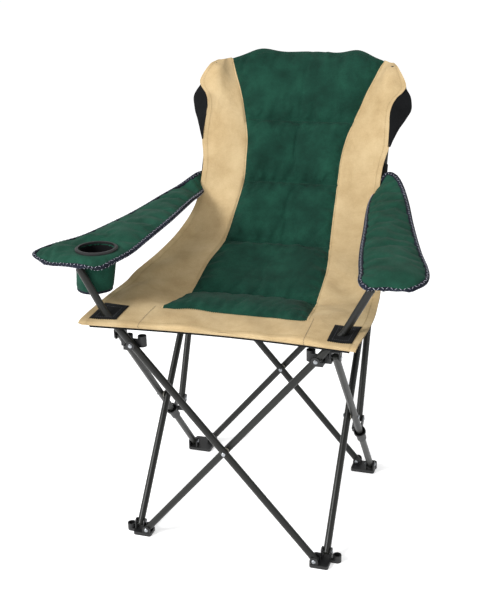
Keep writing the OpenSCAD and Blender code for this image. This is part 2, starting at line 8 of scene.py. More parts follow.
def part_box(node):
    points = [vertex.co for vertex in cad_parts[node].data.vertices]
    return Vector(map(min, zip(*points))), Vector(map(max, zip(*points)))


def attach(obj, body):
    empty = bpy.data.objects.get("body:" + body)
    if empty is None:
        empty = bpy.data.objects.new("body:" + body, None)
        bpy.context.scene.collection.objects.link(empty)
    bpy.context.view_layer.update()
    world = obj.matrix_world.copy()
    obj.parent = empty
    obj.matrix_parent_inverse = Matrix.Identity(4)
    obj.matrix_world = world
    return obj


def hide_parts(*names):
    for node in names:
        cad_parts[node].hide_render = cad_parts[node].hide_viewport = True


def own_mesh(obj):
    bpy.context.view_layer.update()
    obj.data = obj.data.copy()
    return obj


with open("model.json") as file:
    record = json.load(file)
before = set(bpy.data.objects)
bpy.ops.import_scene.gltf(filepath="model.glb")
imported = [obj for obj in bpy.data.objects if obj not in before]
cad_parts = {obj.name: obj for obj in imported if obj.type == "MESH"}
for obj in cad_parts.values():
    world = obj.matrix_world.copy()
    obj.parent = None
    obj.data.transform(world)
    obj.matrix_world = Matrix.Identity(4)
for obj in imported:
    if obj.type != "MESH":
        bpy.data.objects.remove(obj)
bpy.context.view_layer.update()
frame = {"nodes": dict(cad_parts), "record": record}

joints = {j["name"]: j for j in frame["record"]["behaviour"]["joints"]}
frontY = joints["front_crossing"]["pos_m"][1]  # plane of the front crossing tubes
postFoot = np.array(joints["back_post_pivot_right"]["pos_m"])
postLean = math.radians(24.5)
rng = np.random.default_rng(7)


# shapes

def place(points):
    # points are x, distance behind the front crossing and height, in mm
    return np.asarray(points, float) * 0.001 + np.array([0, frontY, 0])


def throughKeys(keys, values, at):
    # smooth curve through key values along the first axis
    keys, values, at = np.asarray(keys, float), np.asarray(values, float), np.asarray(at, float)
    slope = np.gradient(values, keys, axis=0)
    i = np.clip(np.searchsorted(keys, at, side="right") - 1, 0, len(keys) - 2)
    shape = (-1,) + (1,) * (values.ndim - 1)
    h = (keys[i + 1] - keys[i]).reshape(shape)
    t = (at - keys[i]).reshape(shape) / h
    return ((2 * t**3 - 3 * t**2 + 1) * values[i] + (t**3 - 2 * t**2 + t) * h * slope[i]
            + (3 * t**2 - 2 * t**3) * values[i + 1] + (t**3 - t**2) * h * slope[i + 1])


def unit(v):
    return v / np.maximum(np.linalg.norm(v, axis=-1, keepdims=True), 1e-12)


def gridNormals(grid):
    return unit(np.cross(np.gradient(grid, axis=1), np.gradient(grid, axis=0)))


def arcUv(grid):
    # metres along the rows and the columns, for the weave
    across = np.cumsum(np.pad(np.linalg.norm(np.diff(grid, axis=1), axis=2), ((0, 0), (1, 0))), axis=1)
    along = np.cumsum(np.pad(np.linalg.norm(np.diff(grid, axis=0), axis=2), ((1, 0), (0, 0))), axis=0)
    middle = grid.shape[1] // 2
    return np.stack([across - across[:, middle:middle + 1], np.repeat(along[:, middle:middle + 1],
                     grid.shape[1], axis=1)], axis=2)


def softNoise(uv, size, count=14):
    # smooth wandering value between about -1 and 1, with waves near the given size in metres
    total = np.zeros(uv.shape[:-1])
    for k in range(count):
        turn, wave = rng.uniform(0, 2 * math.pi), 2 * math.pi / (size * rng.uniform(0.6, 1.7))
        total += np.sin(wave * (uv[..., 0] * math.cos(turn) + uv[..., 1] * math.sin(turn))
                        + rng.uniform(0, 2 * math.pi))
    return total / math.sqrt(count)


def makePiece(name, verts, faces, materials, faceSlots=None, uv=None, normals=None):
    mesh = bpy.data.meshes.new(name)
    mesh.from_pydata(np.asarray(verts).tolist(), [], [list(map(int, f)) for f in faces])
    for material in materials:
        mesh.materials.append(material)
    if faceSlots is not None:
        mesh.polygons.foreach_set("material_index", np.asarray(faceSlots, np.int32))
    mesh.polygons.foreach_set("use_smooth", np.ones(len(mesh.polygons), bool))
    corner = np.zeros(len(mesh.loops), np.int32)
    mesh.loops.foreach_get("vertex_index", corner)
    if uv is not None:
        layer = mesh.uv_layers.new(name="cloth")
        layer.data.foreach_set("uv", np.asarray(uv, np.float32)[corner].ravel())
    mesh.update()
    if normals is not None:
        mesh.normals_split_custom_set(np.asarray(normals, float)[corner].tolist())
    piece = bpy.data.objects.new(name, mesh)
    bpy.context.scene.collection.objects.link(piece)
    return piece


def shellFaces(rows, cols, keep=None, flip=False):
    # closed shell of a top and a bottom grid; keep says which cells are there
    keep = np.ones((rows - 1, cols - 1), bool) if keep is None else keep
    half = rows * cols
    faces, kinds = [], []

    def add(face, kind):
        faces.append(face[::-1] if flip else face)
        kinds.append(kind)

    for r, c in np.argwhere(keep):
        a, b, d, e = r * cols + c, r * cols + c + 1, (r + 1) * cols + c + 1, (r + 1) * cols + c
        add([a, b, d, e], 0)
        add([half + e, half + d, half + b, half + a], 1)
        for dr, dc, p, q in ((-1, 0, a, b), (0, 1, b, d), (1, 0, d, e), (0, -1, e, a)):
            rr, cc = r + dr, c + dc
            if not (0 <= rr < rows - 1 and 0 <= cc < cols - 1 and keep[rr, cc]):
                add([q, p, half + p, half + q], 2)
    return faces, np.array(kinds)


def swell(verts, faces, held, pressure, slack, cap, frames=20):
    # lets cloth belly out under pressure between its held points; cap is the furthest a point may go
    mesh = bpy.data.meshes.new("swell")
    mesh.from_pydata(verts.tolist(), [], [list(map(int, f)) for f in faces])
    cloth = bpy.data.objects.new("swell", mesh)
    bpy.context.scene.collection.objects.link(cloth)
    group = cloth.vertex_groups.new(name="held")
    for i in np.flatnonzero(held):
        group.add([int(i)], 1.0, "REPLACE")
    modifier = cloth.modifiers.new("cloth", "CLOTH")
    s = modifier.settings
    s.quality, s.mass, s.air_damping = 5, 0.3, 4
    s.tension_stiffness = s.compression_stiffness = 12
    s.shear_stiffness, s.bending_stiffness = 6, 0.6
    s.shrink_min = -slack
    s.vertex_group_mass = "held"
    s.use_pressure, s.uniform_pressure_force = True, pressure
    s.effector_weights.gravity = 0
    modifier.collision_settings.use_self_collision = False
    scene = bpy.context.scene
    for step in range(1, frames + 1):
        scene.frame_set(step)
    after = cloth.evaluated_get(bpy.context.evaluated_depsgraph_get()).data
    moved = np.zeros(len(after.vertices) * 3, np.float32)
    after.vertices.foreach_get("co", moved)
    scene.frame_set(1)
    bpy.data.objects.remove(cloth)
    step = moved.reshape(-1, 3) - verts
    far = np.linalg.norm(step, axis=1, keepdims=True)
    return verts + step * np.minimum(1, cap * np.tanh(far / cap) / np.maximum(far, 1e-9))


def sweep(name, path, outward, halfWidth, halfThick, material, closed=False):
    # flattened rounded tape along a path; outward lies in the tape's width
    path, outward = np.asarray(path), unit(np.asarray(outward))
    if closed:
        tangent = unit(np.roll(path, -1, axis=0) - np.roll(path, 1, axis=0))
    else:
        tangent = unit(np.gradient(path, axis=0))
    side = unit(np.cross(tangent, outward))
    turns = np.linspace(0, 2 * math.pi, 12, endpoint=False)
    shape = [(halfWidth * math.copysign(abs(math.cos(a)) ** 0.7, math.cos(a)),
              halfThick * math.copysign(abs(math.sin(a)) ** 0.7, math.sin(a))) for a in turns]
    rings = np.stack([path + outward * w + side * h for w, h in shape], axis=1)
    n, m = rings.shape[:2]
    faces = [[(r % n) * m + k, (r % n) * m + (k + 1) % m, ((r + 1) % n) * m + (k + 1) % m,
              ((r + 1) % n) * m + k] for r in range(n if closed else n - 1) for k in range(m)]
    if not closed:
        faces += [list(range(m))[::-1], [(n - 1) * m + k for k in range(m)]]
    run = np.concatenate([[0], np.cumsum(np.linalg.norm(np.diff(path, axis=0), axis=1))])
    uv = np.stack([np.tile(np.arange(m) * halfWidth * 4 / m, n), np.repeat(run, m)], axis=1)
    return makePiece(name, rings.reshape(-1, 3), faces, [material], uv=uv)


# materials

def srgb(text):
    channels = [int(text[i:i + 2], 16) / 255 for i in (1, 3, 5)]
    return [c / 12.92 if c <= 0.04045 else ((c + 0.055) / 1.055) ** 2.4 for c in channels] + [1]


def addNode(tree, kind, settings=None, links=None):
    node = tree.nodes.new(kind)
    for key, value in (settings or {}).items():
        if isinstance(key, int) or key in node.inputs:
            node.inputs[key].default_value = value
        else:
            setattr(node, key, value)
    for key, source in (links or {}).items():
        tree.links.new(source, node.inputs[key])
    return node


def startMaterial(name, shader):
    material = bpy.data.materials.new(name)
    material.use_nodes = True
    tree = material.node_tree
    tree.nodes.clear()
    surface = addNode(tree, "ShaderNodeBsdfPrincipled", shader)
    addNode(tree, "ShaderNodeOutputMaterial", links={"Surface": surface.outputs[0]})
    return material, tree, surface


def wovenPolyester(name, colour, dark, light, thread=0.0026, crease=0.0016, roughness=0.8):
    # plain-woven polyester: matt, with a faint thread grid, cloudy shade and soft creases;
    # real threads are 0.4 mm apart and are drawn about six times coarser so that they show
    material, tree, surface = startMaterial(name, {
        "Roughness": roughness, "Sheen Weight": 0.03, "Sheen Roughness": 0.5,
        "Specular IOR Level": 0.08})
    uv = addNode(tree, "ShaderNodeUVMap", {"uv_map": "cloth"}).outputs[0]
    waveScale = 0.314 / thread
    threads = [addNode(tree, "ShaderNodeTexWave", {
        "bands_direction": way, "Scale": waveScale, "Distortion": 0.6, "Detail": 1,
        "Detail Scale": 0.5}, {"Vector": uv}).outputs["Fac"] for way in ("X", "Y")]
    weave = addNode(tree, "ShaderNodeMath", {"operation": "MULTIPLY"},
                    {0: threads[0], 1: threads[1]}).outputs[0]
    position = addNode(tree, "ShaderNodeTexCoord").outputs["Object"]
    cloud = addNode(tree, "ShaderNodeTexNoise", {"Scale": 16, "Detail": 4, "Roughness": 0.6},
                    {"Vector": position}).outputs["Fac"]
    slub = addNode(tree, "ShaderNodeTexNoise", {"Scale": 420, "Detail": 2},
                   {"Vector": position}).outputs["Fac"]
    shade = addNode(tree, "ShaderNodeMath", {"operation": "MULTIPLY_ADD", 1: 0.35},
                    {0: slub, 2: cloud}).outputs[0]
    shade = addNode(tree, "ShaderNodeMath", {"operation": "MULTIPLY_ADD", 1: 0.22},
                    {0: weave, 2: shade}).outputs[0]
    ramp = addNode(tree, "ShaderNodeValToRGB", links={"Fac": shade})
    for element, (at, tone) in zip(
            [ramp.color_ramp.elements[0], ramp.color_ramp.elements.new(0.68),
             ramp.color_ramp.elements[-1]], ((0.42, dark), (0.68, colour), (1.0, light))):
        element.position, element.color = at, srgb(tone)
    tree.links.new(ramp.outputs[0], surface.inputs["Base Color"])
    folds = addNode(tree, "ShaderNodeTexNoise", {"Scale": 17, "Detail": 3, "Distortion": 1.2},
                    {"Vector": position}).outputs["Fac"]
    soft = addNode(tree, "ShaderNodeBump", {"Strength": 0.55, "Distance": crease},
                   {"Height": folds}).outputs[0]
    bump = addNode(tree, "ShaderNodeBump", {"Strength": 0.5, "Distance": 0.0005},
                   {"Height": weave, "Normal": soft}).outputs[0]
    tree.links.new(bump, surface.inputs["Normal"])
    return material


def speckled(name, dark, light, scale, bumpSize, shader, bumpStrength=0.4):
    # a solid finish with fine mottling in its colour and its surface
    material, tree, surface = startMaterial(name, shader)
    position = addNode(tree, "ShaderNodeTexCoord").outputs["Object"]
    grain = addNode(tree, "ShaderNodeTexNoise", {"Scale": scale, "Detail": 3},
                    {"Vector": position}).outputs["Fac"]
    broad = addNode(tree, "ShaderNodeTexNoise", {"Scale": 9, "Detail": 2},
                    {"Vector": position}).outputs["Fac"]
    mixed = addNode(tree, "ShaderNodeMath", {"operation": "MULTIPLY_ADD", 1: 0.5},
                    {0: grain, 2: broad}).outputs[0]
    ramp = addNode(tree, "ShaderNodeValToRGB", links={"Fac": mixed})
    for element, (at, tone) in zip(ramp.color_ramp.elements, ((0.55, dark), (0.95, light))):
        element.position, element.color = at, srgb(tone)
    tree.links.new(ramp.outputs[0], surface.inputs["Base Color"])
    bump = addNode(tree, "ShaderNodeBump", {"Strength": bumpStrength, "Distance": bumpSize},
                   {"Height": grain}).outputs[0]
    tree.links.new(bump, surface.inputs["Normal"])
    return material


# coated polyester, plain woven: dull and close, deep green in the middle panel, paler on the arms
greenPanel = wovenPolyester("green woven polyester", "#14382d", "#0f2b22", "#1d4a3b")
greenArm = wovenPolyester("green woven polyester, armrests", "#1b4335", "#15362a", "#245242")
# the same cloth in tan, where folds and creases show more
tanCloth = wovenPolyester("tan woven polyester", "#bda47b", "#ab9269", "#ceb78e", crease=0.0045)
# the same cloth in black: patches, shoulder pockets and the lining behind
blackCloth = wovenPolyester("black woven polyester", "#101112", "#0a0b0c", "#18191b")
# narrow tape, finer woven, nearly black with a blue cast
bindingTape = wovenPolyester("navy binding tape", "#191c26", "#11131a", "#272c3a", thread=0.0018)
whiteThread = speckled("white polyester thread", "#a9acba", "#c4c6d2", 900, 0.0001,
                       {"Roughness": 0.6})  # slight lavender cast, twisted
# sewing threads: dull twisted polyester, close to the cloth they are sewn in; charcoal on the tan band
# paints the shade in its seams' folds
tanThread = speckled("tan polyester thread", "#a8946a", "#bda97c", 900, 0.0001, {"Roughness": 0.7})
charcoalThreadAndSeamShade = speckled("charcoal polyester thread and painted seam shade", "#35363a", "#45464a", 900, 0.0001,
                          {"Roughness": 0.7})
greenThread = speckled("green polyester thread", "#143428", "#1c4435", 900, 0.0001,
                       {"Roughness": 0.7})
# steel tube under powder coat: satin, with a very fine orange peel
powderCoat = speckled("charcoal powder coat", "#121311", "#1b1c19", 700, 0.00012,
                      {"Roughness": 0.36, "Specular IOR Level": 0.35})
# glass-filled nylon from a spark-eroded mould: dull black, lightly grained
mouldedNylon = speckled("black moulded nylon", "#0d0e0f", "#171819", 1100, 0.00015,
                        {"Roughness": 0.5})
# zinc plate on a steel rivet: grey, slightly uneven gloss
zincPlate = speckled("zinc plated steel", "#8b8f93", "#b0b3b7", 500, 0.00008,
                     {"Metallic": 1.0, "Roughness": 0.32})
# natural nylon washer: milky and matt
naturalNylon = speckled("natural nylon", "#9b978b", "#b5b2a6", 400, 0.00005, {"Roughness": 0.55})

finishes = {"frame": powderCoat, "mould": mouldedNylon, "rivet": zincPlate, "nylon": naturalNylon,
            "green_fabric": greenPanel, "tan_fabric": tanCloth, "black_fabric": blackCloth}
slotOf = {p["node"]: p["material_slot"] for p in frame["record"]["subparts"]}
for nodeName, nodeObject in frame["nodes"].items():
    if not nodeObject.data.materials:
        nodeObject.data.materials.append(None)
    for k in range(len(nodeObject.material_slots)):
        nodeObject.material_slots[k].material = finishes[slotOf[nodeName]]
print("frame finishes done")


# stitches, by Geometry Nodes

def stitchTree():
    tree = bpy.data.node_groups.new("stitches", "GeometryNodeTree")
    tree.interface.new_socket("Path", in_out="INPUT", socket_type="NodeSocketGeometry")
    for label in ("Spacing", "Length", "Thread", "Slant"):
        tree.interface.new_socket(label, in_out="INPUT", socket_type="NodeSocketFloat")
    tree.interface.new_socket("Material", in_out="INPUT", socket_type="NodeSocketMaterial")
    tree.interface.new_socket("Stitches", in_out="OUTPUT", socket_type="NodeSocketGeometry")
    given = addNode(tree, "NodeGroupInput").outputs
    curve = addNode(tree, "GeometryNodeMeshToCurve", links={"Mesh": given["Path"]})
    even = addNode(tree, "GeometryNodeResampleCurve", {"mode": "LENGTH"},
                   {"Curve": curve.outputs[0], "Length": given["Spacing"]})
    outward = addNode(tree, "GeometryNodeInputNamedAttribute",
                      {"data_type": "FLOAT_VECTOR", "Name": "outward"})
    along = addNode(tree, "GeometryNodeInputTangent")
    facing = addNode(tree, "FunctionNodeAxesToRotation",
                     {"primary_axis": "Z", "secondary_axis": "X"},
                     {0: outward.outputs[0], 1: along.outputs[0]})
    index = addNode(tree, "GeometryNodeInputIndex")
    odd = addNode(tree, "ShaderNodeMath", {"operation": "MODULO", 1: 2.0}, {0: index.outputs[0]})
    sign = addNode(tree, "ShaderNodeMath", {"operation": "MULTIPLY_ADD", 1: 2.0, 2: -1.0},
                   {0: odd.outputs[0]})
    angle = addNode(tree, "ShaderNodeMath", {"operation": "MULTIPLY"},
                    {0: sign.outputs[0], 1: given["Slant"]})
    turn = addNode(tree, "FunctionNodeAxisAngleToRotation", {"Axis": (0, 0, 1)},
                   {"Angle": angle.outputs[0]})
    turned = addNode(tree, "FunctionNodeRotateRotation", {"rotation_space": "LOCAL"},
                     {0: facing.outputs[0], 1: turn.outputs[0]})
    bead = addNode(tree, "GeometryNodeMeshUVSphere", {"Segments": 6, "Rings": 4, "Radius": 0.5})
    size = addNode(tree, "ShaderNodeCombineXYZ", links={0: given["Length"], 1: given["Thread"],
                                                        2: given["Thread"]})
    shaped = addNode(tree, "GeometryNodeTransform",
                     links={"Geometry": bead.outputs[0], "Scale": size.outputs[0]})
    many = addNode(tree, "GeometryNodeInstanceOnPoints",
                   links={"Points": even.outputs[0], "Instance": shaped.outputs[0],
                          "Rotation": turned.outputs[0]})
    real = addNode(tree, "GeometryNodeRealizeInstances", links={0: many.outputs[0]})
    smooth = addNode(tree, "GeometryNodeSetShadeSmooth", links={"Geometry": real.outputs[0]})
    finished = addNode(tree, "GeometryNodeSetMaterial",
                       links={"Geometry": smooth.outputs[0], "Material": given["Material"]})
    addNode(tree, "NodeGroupOutput", links={0: finished.outputs[0]})
    return tree


stitchNodes = stitchTree()


def stitches(name, paths, material, spacing=0.0046, length=0.0034, thread=0.0011, slant=0.0):
    # paths are (points, outward) pairs
    points = np.concatenate([p for p, o in paths])
    mesh = bpy.data.meshes.new(name + "Path")
    edges, start = [], 0
    for p, o in paths:
        edges += [(start + k, start + k + 1) for k in range(len(p) - 1)]
        start += len(p)
    mesh.from_pydata(points.tolist(), edges, [])
    outward = mesh.attributes.new("outward", "FLOAT_VECTOR", "POINT")
    outward.data.foreach_set("vector", np.concatenate([o for p, o in paths]).astype(np.float32).ravel())
    carrier = bpy.data.objects.new(name + "Path", mesh)
    bpy.context.scene.collection.objects.link(carrier)
    modifier = carrier.modifiers.new("stitches", "NODES")
    modifier.node_group = stitchNodes
    sockets = {s.name: s.identifier for s in stitchNodes.interface.items_tree
               if s.in_out == "INPUT"}
    for label, value in (("Spacing", spacing), ("Length", length), ("Thread", thread),
                         ("Slant", slant), ("Material", material)):
        modifier[sockets[label]] = value
    evaluated = carrier.evaluated_get(bpy.context.evaluated_depsgraph_get())
    plain = bpy.data.meshes.new_from_object(evaluated)
    plain.name = name
    bpy.data.objects.remove(carrier)
    piece = bpy.data.objects.new(name, plain)
    bpy.context.scene.collection.objects.link(piece)
    return piece


# sling: seat and back in one surface, cut where the frame folds it

sling = {"cell": 4.2, "sheet": 2.4, "pad": 8.0, "pillow": 12.0,
         "pressure": 4.0, "slack": 0.03, "cap": 0.006,
         "creaseDepth": 1.6, "seamDepth": 1.6, "sewnDepth": 3.0, "sewnWidth": 0.0045,
         "wrinkle": 3.2, "fold": 5.0, "pucker": 3.0, "keep": 0.2}
# each row: middle (y, z), seam (x, y, z), middle of the tan side or None, outer edge
slingRows = [
    ((20, 511), (165, -2, 518), None, (293, -51, 535)),
    ((14, 524), (165, -8, 531), None, (296, -55, 547)),
    ((104, 529), (161, 77, 541), None, (300, 85, 548)),
    ((200, 519), (151, 175, 529), None, (293, 180, 552)),
    ((242, 517), (147, 219, 526), None, (288, 230, 562)),
    ((352, 541), (143, 329, 563), None, (271, 336, 578)),
    ((446, 580), (130, 413, 592), None, (252, 430, 607)),
    ((508, 638), (123, 482, 652), None, (230, 488, 660)),
    ((561, 705), (119, 541, 710), None, (227, 538, 735)),
    ((589, 757), (120, 569, 765), None, (231, 557, 772)),
    ((615, 803), (125, 597, 805), None, (238, 574, 802)),
    ((642, 843), (137, 624, 847), None, (235, 592, 845)),
    ((667, 880), (150, 650, 880), None, (234, 612, 886)),
    ((682, 901), (157, 660, 900), (202, 638, 904), (243, 627, 908)),
    ((697, 921), (165, 670, 921), (214, 641, 930), (264, 644, 936)),
    ((727, 956), (181, 689, 955), (213, 658, 968), (243, 661, 975)),
    ((770, 1000), (196, 710, 987), (212, 691, 986), (228, 683, 985)),
]
frontRow, splitRow, backRow = 2, 3, 6
quiltRows = [2, 4, 6, 8, 11, 16]  # rows where the quilting is sewn down


def slingKeys():
    table = []
    for (cy, cz), seam, tan, edge in slingRows:
        middle, seam, edge = np.array([0, cy, cz]), np.array(seam, float), np.array(edge, float)
        between = middle + (seam - middle) * np.array([0.5, 0.33, 0.33])
        tan = (seam + edge) / 2 if tan is None else np.array(tan, float)
        right = np.array([middle, between, seam, tan, edge])
        table.append(np.concatenate([right[:0:-1] * [-1, 1, 1], right]))
    return np.array(table)


keyTable = slingKeys()
acrossKeys = np.array([-2, -1.5, -1, -0.5, 0, 0.5, 1, 1.5, 2])
fineRows, rowIndex = [0.0], [0]
for k in range(len(slingRows) - 1):
    reach = np.linalg.norm(keyTable[k + 1, 6] - keyTable[k, 6])
    steps = max(3, round(reach / sling["cell"]))
    fineRows += list(k + np.arange(1, steps + 1) / steps)
    rowIndex.append(rowIndex[-1] + steps)
fineRows = np.array(fineRows)
greenCols, tanCols = 34, 27
half = np.concatenate([np.linspace(0, 1, greenCols + 1), np.linspace(1, 2, tanCols + 1)[1:]])
across = np.concatenate([-half[:0:-1], half])
rowPoints = throughKeys(np.arange(len(slingRows)), keyTable, fineRows)
base = np.swapaxes(throughKeys(acrossKeys, np.swapaxes(rowPoints, 0, 1), across), 0, 1)
# the top edge dips at the middle and stands up towards its corners
rise = 15 * np.exp(-((np.abs(base[:, :, 0]) - 128) / 42) ** 2)
base[:, :, 2] += rise * np.clip((fineRows - 14.6) / 1.4, 0, 1)[:, None] ** 1.5
base = place(base)
baseNormal = gridNormals(base)
uvGrid = arcUv(base)
isGreen = (np.abs(across)[None, :] <= 1.0001) & (fineRows[:, None] >= frontRow - 1e-6)

# quilting: bellied cloth between sewn lines, puckered beside them
nearRow = np.min(np.abs(uvGrid[:, :, 1:] - uvGrid[[rowIndex[k] for k in quiltRows], :, 1].T[None]),
                 axis=2)
seamU = (1 - np.abs(across))[None, :] * np.abs(uvGrid[:, greenCols + tanCols + greenCols, 0])[:, None]
inFromSide = np.where(isGreen, np.abs(seamU), 0)
inFromRow = np.where(isGreen, nearRow, 0)
puff = (1 - np.exp(-inFromSide / 0.016)) * (1 - np.exp(-inFromRow / 0.017))
pucker = softNoise(uvGrid * [1, 0.25], 0.030) * np.exp(-inFromRow / 0.022) * (inFromRow > 0)
pucker += softNoise(uvGrid * [0.25, 1], 0.034) * np.exp(-inFromSide / 0.020) * (inFromSide > 0)
drape = softNoise(uvGrid * [0.8, 0.45], 0.11)
# slanting folds in the tan sides of the seat, pulled towards the arm posts
slant = np.stack([np.abs(uvGrid[:, :, 0]) * 0.8 + uvGrid[:, :, 1] * 0.6,
                  0.25 * (uvGrid[:, :, 1] * 0.8 - np.abs(uvGrid[:, :, 0]) * 0.6)], axis=2)
drape += sling["fold"] / sling["wrinkle"] * softNoise(slant, 0.07) * (~isGreen) * np.exp(
    -((fineRows - 3.4) / 1.5) ** 2)[:, None]
edgeFade = np.clip((2 - np.abs(across)) / 0.25, 0, 1)[None, :]
endFade = np.clip(np.minimum(fineRows, 16 - fineRows) / 1.0, 0, 1)[:, None]
height = np.where(isGreen, sling["pillow"] * puff + sling["pucker"] * pucker
                  + 0.5 * sling["wrinkle"] * drape * puff, sling["wrinkle"] * drape) * 0.001
# a faint upright crease in the upper cells, and a groove along each green and tan seam
crease = np.exp(-(uvGrid[:, :, 0] / 0.006) ** 2) * np.clip((fineRows - 8) / 2, 0, 1)[:, None]
height -= 0.001 * sling["creaseDepth"] * crease * isGreen
height -= 0.001 * sling["sewnDepth"] * np.exp(-(inFromRow / sling["sewnWidth"]) ** 2) * isGreen
groove = np.exp(-((np.abs(across)[None, :] - 1) * 130 / 5.0) ** 2) * (fineRows[:, None] >= frontRow)
height -= 0.001 * sling["seamDepth"] * groove
height *= np.where(isGreen, 1, edgeFade * endFade)
top = base + baseNormal * height[:, :, None]

# the green panel is let out by simulation
r0, c0, c1 = rowIndex[frontRow], tanCols, tanCols + 2 * greenCols + 1
panel = top[r0:, c0:c1]
pr, pc = panel.shape[:2]
panelFaces = [[r * pc + c, r * pc + c + 1, (r + 1) * pc + c + 1, (r + 1) * pc + c]
              for r in range(pr - 1) for c in range(pc - 1)]
held = np.zeros((pr, pc), bool)
held[:, [0, 1, -2, -1]] = True
for k in quiltRows:
    r = rowIndex[k] - r0
    held[max(0, r - 1):r + 2] = True
swollen = swell(panel.reshape(-1, 3), panelFaces, held.ravel(), sling["pressure"], sling["slack"],
                sling["cap"]).reshape(pr, pc, 3)
top[r0:, c0:c1] = swollen
under = np.where(isGreen, np.minimum(height, 0) - 0.00035 * sling["pad"] * puff, height)
bottom = base + baseNormal * (under - 0.001 * sling["sheet"])[:, :, None]
topNormal, bottomNormal = gridNormals(top), -gridNormals(bottom)
print("sling surface done")


def slingPiece(name, first, last, body, node):
    rows = slice(rowIndex[first], rowIndex[last] + 1)
    a, b = top[rows], bottom[rows]
    n, m = a.shape[:2]
    faces, kinds = shellFaces(n, m)
    cell = (isGreen[rows][:-1, :-1] & isGreen[rows][1:, 1:]).ravel()
    topSlots = np.where(cell, 0, 1)
    slots = np.full(len(kinds), 2)
    slots[kinds == 0] = topSlots
    slots[kinds == 2] = 1
    verts = np.concatenate([a.reshape(-1, 3), b.reshape(-1, 3)])
    normals = np.concatenate([topNormal[rows].reshape(-1, 3), bottomNormal[rows].reshape(-1, 3)])
    uv = np.tile(uvGrid[rows].reshape(-1, 2), (2, 1))
    piece = makePiece(name, verts, faces, [greenPanel, tanCloth, blackCloth], slots, uv, normals)
    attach(piece, body)
    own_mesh(piece)
    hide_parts(node)
    return piece


slingPiece("slingSeatFront", 0, splitRow, "seat_front_half", "seat_front")
slingPiece("slingSeatRear", splitRow, backRow, "seat_rear_half", "seat_rear")
slingPiece("slingBack", backRow, len(slingRows) - 1, "back_post_left", "back_panel")

# seams and hems
spans = {"Front": (0, rowIndex[splitRow], "seat_front_half"),
         "Rear": (rowIndex[splitRow], rowIndex[backRow], "seat_rear_half"),
         "Back": (rowIndex[backRow], len(fineRows) - 1, "back_post_left")}


def lineAlong(column, first, last, lift=0.0006):
    rows = slice(first, last + 1)
    return top[rows, column] + topNormal[rows, column] * lift, topNormal[rows, column]


def lineAcross(row, left, right, lift=0.0006):
    return (top[row, left:right + 1] + topNormal[row, left:right + 1] * lift,
            topNormal[row, left:right + 1])


middleCol = greenCols + tanCols
lastCol = 2 * middleCol
for part, (first, last, body) in spans.items():
    tanLines, greenLines = [], []
    start = max(first, rowIndex[frontRow]) if part == "Front" else first
    for sign in (-1, 1):
        tanLines.append(lineAlong(middleCol + sign * (greenCols + 1), start, last))
        tanLines.append(lineAlong(middleCol + sign * (middleCol - 3), first, last))
    if part == "Front":
        tanLines.append(lineAcross(rowIndex[frontRow] - 1, tanCols, lastCol - tanCols))
        tanLines.append(lineAcross(rowIndex[1] + 3, 2, lastCol - 2))
    for k in quiltRows[1:-1]:
        if first <= rowIndex[k] < last:
            greenLines.append(lineAcross(rowIndex[k], tanCols + 1, lastCol - tanCols - 1))
    if part == "Back":
        greenLines.append(lineAcross(len(fineRows) - 4, tanCols, lastCol - tanCols))
    for label, lines, thread, slot in (("tanStitches", tanLines, tanThread, "tan_fabric"),
                                       ("greenStitches", greenLines, greenThread, "green_fabric")):
        if lines:
            piece = stitches(label + part, lines, thread)
            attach(piece, body)
            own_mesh(piece)
# the front band's seams are sewn in charcoal thread, much darker than the tan, so that they paint the
# shade in each seam's fold as a dark line
bandSeamShade = stitches("bandSeamShadeStitches", [lineAlong(middleCol + sign * (greenCols + 3), rowIndex[0] + 1,
                                                rowIndex[2]) for sign in (-1, 1)],
                     charcoalThreadAndSeamShade, spacing=0.0032, length=0.0028, thread=0.0008)
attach(bandSeamShade, "seat_front_half")
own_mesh(bandSeamShade)
# a thin black strip hung just below and in front of the front hem, so that a dark line shows under its
# edge
underHem = sweep("frontHemDarkStrip", bottom[0, 3:-3] + [0, 0.0004, -0.0034],
                 np.tile([0, 0, -1.0], (lastCol - 5, 1)), 0.0034, 0.0008, blackCloth)
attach(underHem, "seat_front_half")
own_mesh(underHem)
print("seams done")

# reinforcing patches where the arm posts come through
for sideName, sign in (("left", -1), ("right", 1)):
    rows = slice(rowIndex[1] + 3, rowIndex[1] + 16)
    cols = middleCol + sign * np.arange(greenCols + 13, greenCols + 25)
    cols = np.sort(cols)
    skin = top[rows][:, cols] + topNormal[rows][:, cols] * 0.0016
    n, m = skin.shape[:2]
    faces, kinds = shellFaces(n, m)
    verts = np.concatenate([skin.reshape(-1, 3),
                            (skin - topNormal[rows][:, cols] * 0.0012).reshape(-1, 3)])
    uv = np.tile(uvGrid[rows][:, cols].reshape(-1, 2), (2, 1))
    patch = makePiece("cornerPatch" + sideName.title(), verts, faces, [blackCloth], uv=uv)
    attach(patch, "seat_front_half")
    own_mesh(patch)
    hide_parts("seat_corner_patch_" + sideName)
    rim = [(2, c) for c in range(2, m - 2)] + [(r, m - 3) for r in range(3, n - 2)]
    rim += [(n - 3, c) for c in range(m - 4, 1, -1)] + [(r, 2) for r in range(n - 4, 1, -1)]
    rimRows, rimCols = np.array(rim).T
    rimUp = topNormal[rows][:, cols][rimRows, rimCols]
    sewn = stitches("patchStitches" + sideName.title(),
                    [(skin[rimRows, rimCols] + rimUp * 0.0002, rimUp)], charcoalThreadAndSeamShade)
    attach(sewn, "seat_front_half")
    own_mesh(sewn)

# shoulder pockets over the tops of the back posts

